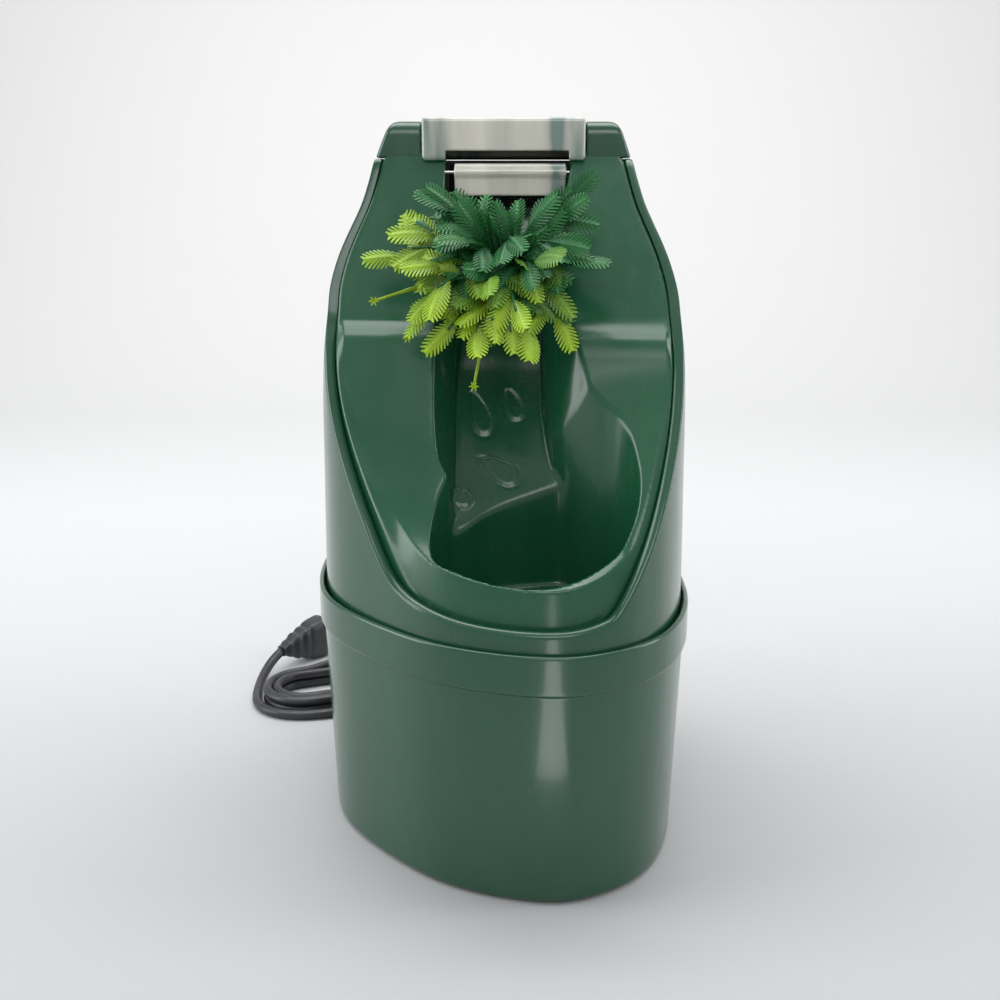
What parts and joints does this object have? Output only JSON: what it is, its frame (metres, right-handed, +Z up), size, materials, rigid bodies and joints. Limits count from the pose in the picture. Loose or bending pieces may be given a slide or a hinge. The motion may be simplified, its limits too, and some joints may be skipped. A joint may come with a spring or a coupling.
{
  "type": "pet drinking fountain",
  "caption": "Waterfall drinking fountain for small pets: oval tank, lift-off cascade housing with basin, smoked filter lid, artificial plant, submersible pump and mains cord.",
  "frame": {"origin": "on the table under the middle of the tank's rim", "axes": "+Z up, -Y towards the basin at the front, +X to the right as seen from the front"},
  "size_m": [0.2131, 0.275, 0.2944],
  "materials": {
    "green_body": "glossy injection-moulded dark green",
    "green_tray": "glossy injection-moulded dark green",
    "smoked": "smoked clear styrene",
    "steel": "polished stainless",
    "filter_box": "satin",
    "sponge": "open-cell foam",
    "clear_vinyl": "soft clear vinyl",
    "plant_stem": "soft polyethylene",
    "plant_leaf": "soft polyethylene, lime at the tips",
    "pump_plastic": "satin black",
    "lamination": "stacked silicon-steel sheets",
    "copper_coil": "enamelled copper wire",
    "magnet": "dark sintered ferrite",
    "vane_plastic": "natural acetal",
    "ceramic": "polished ceramic",
    "rubber_black": "matt",
    "rubber_grey": "matt",
    "cord_black": "satin vinyl",
    "blade_brass": "nickel-tinted brass"
  },
  "bodies": {
    "tank": {"reservoir": "green_body", "rubber_feet": "rubber_black", "pump_body": "pump_plastic", "stator_core": "lamination", "stator_coil": "copper_coil", "volute_cover": "pump_plastic", "impeller_shaft": "ceramic", "shaft_bushes": "rubber_black", "suction_cups": "rubber_grey", "pump_gland": "rubber_black", "pump_lead": "cord_black", "cord_grommet": "rubber_black", "power_cord": "cord_black", "cord_hank": "cord_black", "cord_tie": "rubber_grey", "plug_body": "cord_black", "plug_blades": "blade_brass"},
    "upper_housing": {"housing": "green_body", "cascade_tray": "green_tray", "hood": "green_body", "flap_pin": "steel", "filter_box": "filter_box", "filter_sponge": "sponge", "riser_tube": "clear_vinyl", "plant_socket": "green_tray"},
    "lid": {"filter_lid": "smoked"},
    "flap": {"spill_flap": "smoked"},
    "plant": {"plant_base": "plant_stem", "plant_stems": "plant_stem", "plant_leaves": "plant_leaf"},
    "impeller": {"impeller_magnet": "magnet", "impeller_vanes": "vane_plastic"},
    "pump_intake": {"intake_cover": "pump_plastic"},
    "dial": {"flow_dial": "rubber_grey"}
  },
  "joints": [
    {"name": "housing_lift", "type": "slide", "parent": "tank", "child": "upper_housing", "axis": [0, 0, 1], "range_m": [0, 0.1]},
    {"name": "lid_lift", "type": "slide", "parent": "upper_housing", "child": "lid", "axis": [0, 0, 1], "range_m": [0, 0.04]},
    {"name": "flap_swing", "type": "hinge", "parent": "upper_housing", "child": "flap", "pos_m": [0.0047, 0.0235, 0.2725], "axis": [-1, 0, 0], "range_deg": [0, 35]},
    {"name": "plant_pull", "type": "slide", "parent": "upper_housing", "child": "plant", "axis": [0, -0.9703, 0.2419], "range_m": [0, 0.15]},
    {"name": "impeller_spin", "type": "hinge", "parent": "tank", "child": "impeller", "pos_m": [0, 0.05, 0.022], "axis": [0, -1, 0], "continuous": true},
    {"name": "intake_pull", "type": "slide", "parent": "tank", "child": "pump_intake", "axis": [0, -1, 0], "range_m": [0, 0.04]},
    {"name": "dial_turn", "type": "hinge", "parent": "pump_intake", "child": "dial", "pos_m": [0, 0.02, 0.024], "axis": [0, -1, 0], "range_deg": [0, 90]}
  ]
}
